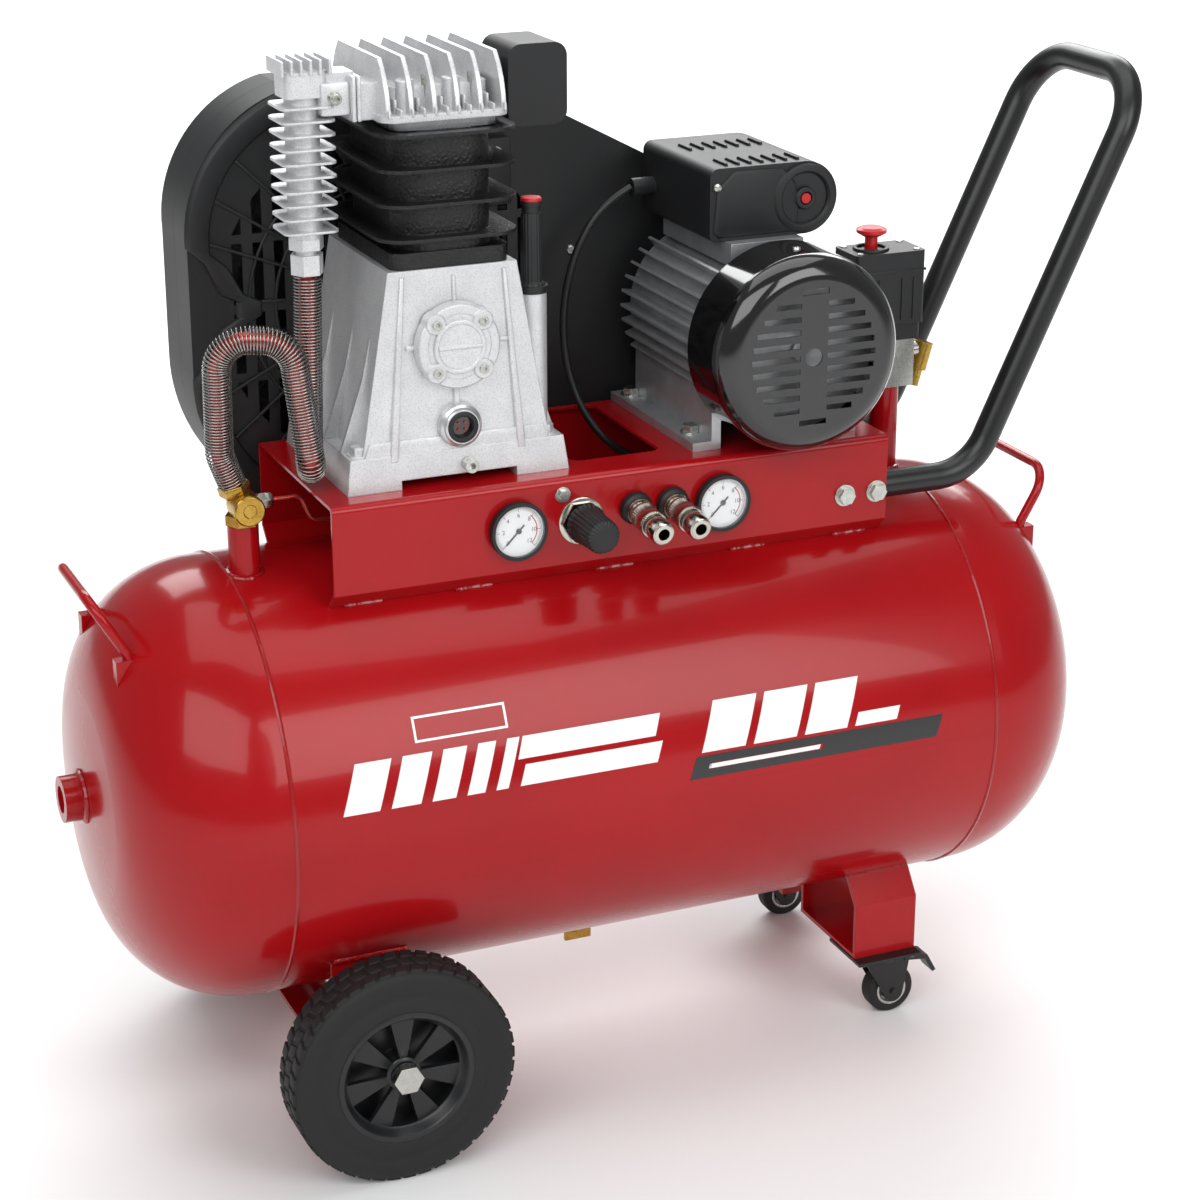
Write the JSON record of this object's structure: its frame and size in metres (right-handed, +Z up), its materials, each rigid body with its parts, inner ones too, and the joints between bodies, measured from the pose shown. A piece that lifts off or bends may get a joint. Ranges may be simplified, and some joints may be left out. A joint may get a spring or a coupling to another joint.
{
  "type": "twin stack compressor",
  "caption": "Belt-driven twin-cylinder air compressor on a horizontal tank with two wheels, two swivel casters and a push handle.",
  "frame": {"origin": "middle of the bounding box's foot, on the floor", "axes": "+X along the tank to the push handle, +Y to the belt guard, +Z up"},
  "size_m": [1.0111, 0.448, 0.9344],
  "materials": {
    "red_paint": "gloss",
    "black_paint": "satin",
    "gloss_black": "gloss",
    "rubber": "matte",
    "black_plastic": "matte",
    "red_plastic": "gloss",
    "nylon": "satin",
    "zinc": "satin",
    "cast_aluminium": "cast",
    "motor_aluminium": "satin",
    "cast_iron": "rough",
    "steel": "machined",
    "brass": "satin",
    "copper": "satin",
    "gauge": "gloss",
    "glass": "gloss",
    "belt_rubber": "matte",
    "cable": "matte"
  },
  "bodies": {
    "stand": {"tank": "red_paint", "carry_handles": "red_paint", "axle_bracket": "red_paint", "wheel_axle": "zinc", "caster_bracket": "red_paint", "caster_plates": "black_paint", "base_frame": "red_paint", "push_handle": "black_paint", "hex_bolts": "zinc", "cap_screws": "zinc", "crankcase": "cast_aluminium", "bearing_cover": "cast_aluminium", "sight_glass": "glass", "cylinder_block": "cast_iron", "valve_plate": "steel", "cylinder_head": "cast_aluminium", "air_filter": "black_plastic", "aftercooler": "cast_aluminium", "main_bearings": "steel", "copper_pipes": "copper", "pipe_guard": "steel", "check_valve": "brass", "motor_body": "motor_aluminium", "fan_cowl": "gloss_black", "terminal_box": "black_plastic", "motor_cable": "cable", "belt_guard_front": "black_plastic", "belt_guard_rear": "black_plastic", "v_belt": "belt_rubber", "pressure_switch": "black_plastic", "switch_manifold": "zinc", "safety_valve": "brass", "gauge_cases": "gauge", "outlet_manifold": "zinc"},
    "wheel_front": {"tyre_front": "rubber", "rim_front": "nylon"},
    "wheel_rear": {"tyre_rear": "rubber", "rim_rear": "nylon"},
    "caster_front": {"caster_fork_front": "black_paint"},
    "caster_rear": {"caster_fork_rear": "black_paint"},
    "caster_roller_front": {"caster_wheel_front": "rubber"},
    "caster_roller_rear": {"caster_wheel_rear": "rubber"},
    "brake_front": {"caster_brake_front": "black_paint"},
    "brake_rear": {"caster_brake_rear": "black_paint"},
    "crank": {"crankshaft": "steel", "flywheel": "cast_iron"},
    "crank_link": {"crank_plug": "steel"},
    "rods": {"conrods": "cast_aluminium"},
    "piston_pair": {"pistons": "cast_aluminium"},
    "rotor": {"motor_rotor": "steel", "motor_pulley": "cast_iron"},
    "filler_plug": {"oil_filler_plug": "black_plastic"},
    "drain": {"drain_valve": "brass"},
    "switch_pull": {"switch_knob": "red_plastic"},
    "reset": {"reset_button": "red_plastic"},
    "regulator": {"regulator_knob": "black_plastic"},
    "sleeve_left": {"coupler_sleeve_left": "black_plastic"},
    "sleeve_right": {"coupler_sleeve_right": "black_plastic"},
    "pointer_left": {"needle_left": "black_plastic"},
    "pointer_right": {"needle_right": "black_plastic"}
  },
  "joints": [
    {"name": "wheel_front_spin", "type": "hinge", "parent": "stand", "child": "wheel_front", "pos_m": [-0.27395, -0.19549, 0.1001], "axis": [0, 1, 0], "continuous": true},
    {"name": "caster_front_swivel", "type": "hinge", "parent": "stand", "child": "caster_front", "pos_m": [0.23655, -0.1114, 0.07], "axis": [0, 0, 1], "continuous": true},
    {"name": "caster_front_roll", "type": "hinge", "parent": "caster_front", "child": "caster_roller_front", "pos_m": [0.25105, -0.1114, 0.024], "axis": [0, 1, 0], "continuous": true},
    {"name": "brake_front_press", "type": "hinge", "parent": "caster_front", "child": "brake_front", "pos_m": [0.26305, -0.1114, 0.0556], "axis": [0, 1, 0], "range_deg": [0, 10]},
    {"name": "wheel_rear_spin", "type": "hinge", "parent": "stand", "child": "wheel_rear", "pos_m": [-0.27395, 0.19549, 0.1001], "axis": [0, 1, 0], "continuous": true},
    {"name": "caster_rear_swivel", "type": "hinge", "parent": "stand", "child": "caster_rear", "pos_m": [0.23655, 0.1114, 0.07], "axis": [0, 0, 1], "continuous": true},
    {"name": "caster_rear_roll", "type": "hinge", "parent": "caster_rear", "child": "caster_roller_rear", "pos_m": [0.25105, 0.1114, 0.024], "axis": [0, 1, 0], "continuous": true},
    {"name": "brake_rear_press", "type": "hinge", "parent": "caster_rear", "child": "brake_rear", "pos_m": [0.26305, 0.1114, 0.0556], "axis": [0, 1, 0], "range_deg": [0, 10]},
    {"name": "flywheel_spin", "type": "hinge", "parent": "stand", "child": "crank", "pos_m": [-0.16445, 0.142, 0.6959], "axis": [0, 1, 0], "continuous": true},
    {"name": "crank_link_spin", "type": "hinge", "parent": "crank", "child": "crank_link", "pos_m": [-0.16445, -0.053, 0.6864], "axis": [0, 1, 0], "continuous": true},
    {"name": "piston_stroke", "type": "hinge", "parent": "crank_link", "child": "piston_pair", "pos_m": [-0.16445, 0.005, 0.6769], "axis": [0, 1, 0], "continuous": true},
    {"name": "rod_swing", "type": "hinge", "parent": "crank", "child": "rods", "pos_m": [-0.16445, 0.005, 0.6769], "axis": [0, 1, 0], "continuous": true},
    {"name": "motor_spin", "type": "hinge", "parent": "stand", "child": "rotor", "pos_m": [0.13305, 0.142, 0.6705], "axis": [0, 1, 0], "continuous": true},
    {"name": "filler_plug_pull", "type": "slide", "parent": "stand", "child": "filler_plug", "axis": [0, 0, 1], "range_m": [0, 0.09]},
    {"name": "drain_turn", "type": "hinge", "parent": "stand", "child": "drain", "pos_m": [-0.02445, 0, 0.115], "axis": [0, 0, 1], "range_deg": [0, 270]},
    {"name": "switch_knob_pull", "type": "slide", "parent": "stand", "child": "switch_pull", "axis": [0, 0, 1], "range_m": [0, 0.006]},
    {"name": "reset_press", "type": "slide", "parent": "stand", "child": "reset", "axis": [0, 1, 0], "range_m": [0, 0.003], "stiffness_N_per_m": 400},
    {"name": "regulator_turn", "type": "hinge", "parent": "stand", "child": "regulator", "pos_m": [-0.06325, -0.133, 0.5356], "axis": [0, 1, 0], "range_deg": [-540, 540]},
    {"name": "coupler_left_pull", "type": "slide", "parent": "stand", "child": "sleeve_left", "axis": [0, 0.9945, 0.1045], "range_m": [0, 0.005], "stiffness_N_per_m": 800},
    {"name": "needle_left_sweep", "type": "hinge", "parent": "stand", "child": "pointer_left", "pos_m": [-0.12305, -0.11, 0.5356], "axis": [0, 1, 0], "range_deg": [0, 270], "stiffness_Nm_per_rad": 0.0005},
    {"name": "coupler_right_pull", "type": "slide", "parent": "stand", "child": "sleeve_right", "axis": [0, 0.9945, 0.1045], "range_m": [0, 0.005], "stiffness_N_per_m": 800},
    {"name": "needle_right_sweep", "type": "hinge", "parent": "stand", "child": "pointer_right", "pos_m": [0.06915, -0.11, 0.5356], "axis": [0, 1, 0], "range_deg": [0, 270], "stiffness_Nm_per_rad": 0.0005}
  ],
  "couplings": [
    {"joint": "motor_spin", "follows": "flywheel_spin", "ratio": 4.5185},
    {"joint": "crank_link_spin", "follows": "flywheel_spin", "ratio": -2},
    {"joint": "piston_stroke", "follows": "flywheel_spin", "ratio": 1},
    {"joint": "rod_swing", "follows": "flywheel_spin", "ratio": -1}
  ]
}
